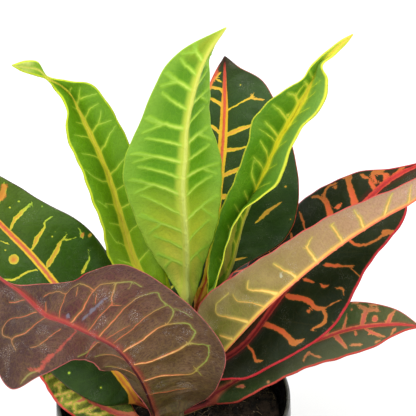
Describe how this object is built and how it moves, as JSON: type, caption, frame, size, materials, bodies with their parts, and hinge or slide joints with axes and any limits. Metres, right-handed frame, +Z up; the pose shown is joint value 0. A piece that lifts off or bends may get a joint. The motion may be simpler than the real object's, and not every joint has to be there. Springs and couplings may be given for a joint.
{
  "type": "potted croton",
  "caption": "Young croton plant with broad, veined green, lime and purple-brown leaves on a short stem in a small round black nursery pot",
  "frame": {"origin": "middle of the pot's flat underside", "axes": "+Z up along the pot's axis; +Y away from the front, where the purple-brown leaf hangs; +X to the right seen from the front"},
  "size_m": [0.2093, 0.1619, 0.2683],
  "materials": {
    "pot_plastic": "satin",
    "potting_mix": "matte",
    "stem_bark": "matte",
    "leaf_lime": "satin",
    "leaf_green": "satin",
    "leaf_mottled": "satin",
    "leaf_purple": "satin",
    "leaf_tan": "satin"
  },
  "bodies": {
    "root": {"pot": "pot_plastic", "soil": "potting_mix", "stem": "stem_bark", "leaf_crown": "leaf_lime", "leaf_lime_left": "leaf_lime", "leaf_lime_right": "leaf_lime", "leaf_back_centre": "leaf_green", "leaf_left": "leaf_green", "leaf_front_left": "leaf_purple", "leaf_low_left": "leaf_mottled", "leaf_right_upper": "leaf_tan", "leaf_right": "leaf_green", "leaf_low_right": "leaf_green", "leaf_back_left": "leaf_green", "leaf_back_right": "leaf_green", "leaf_back_low": "leaf_green", "leaf_back_far_left": "leaf_green"}
  },
  "joints": []
}
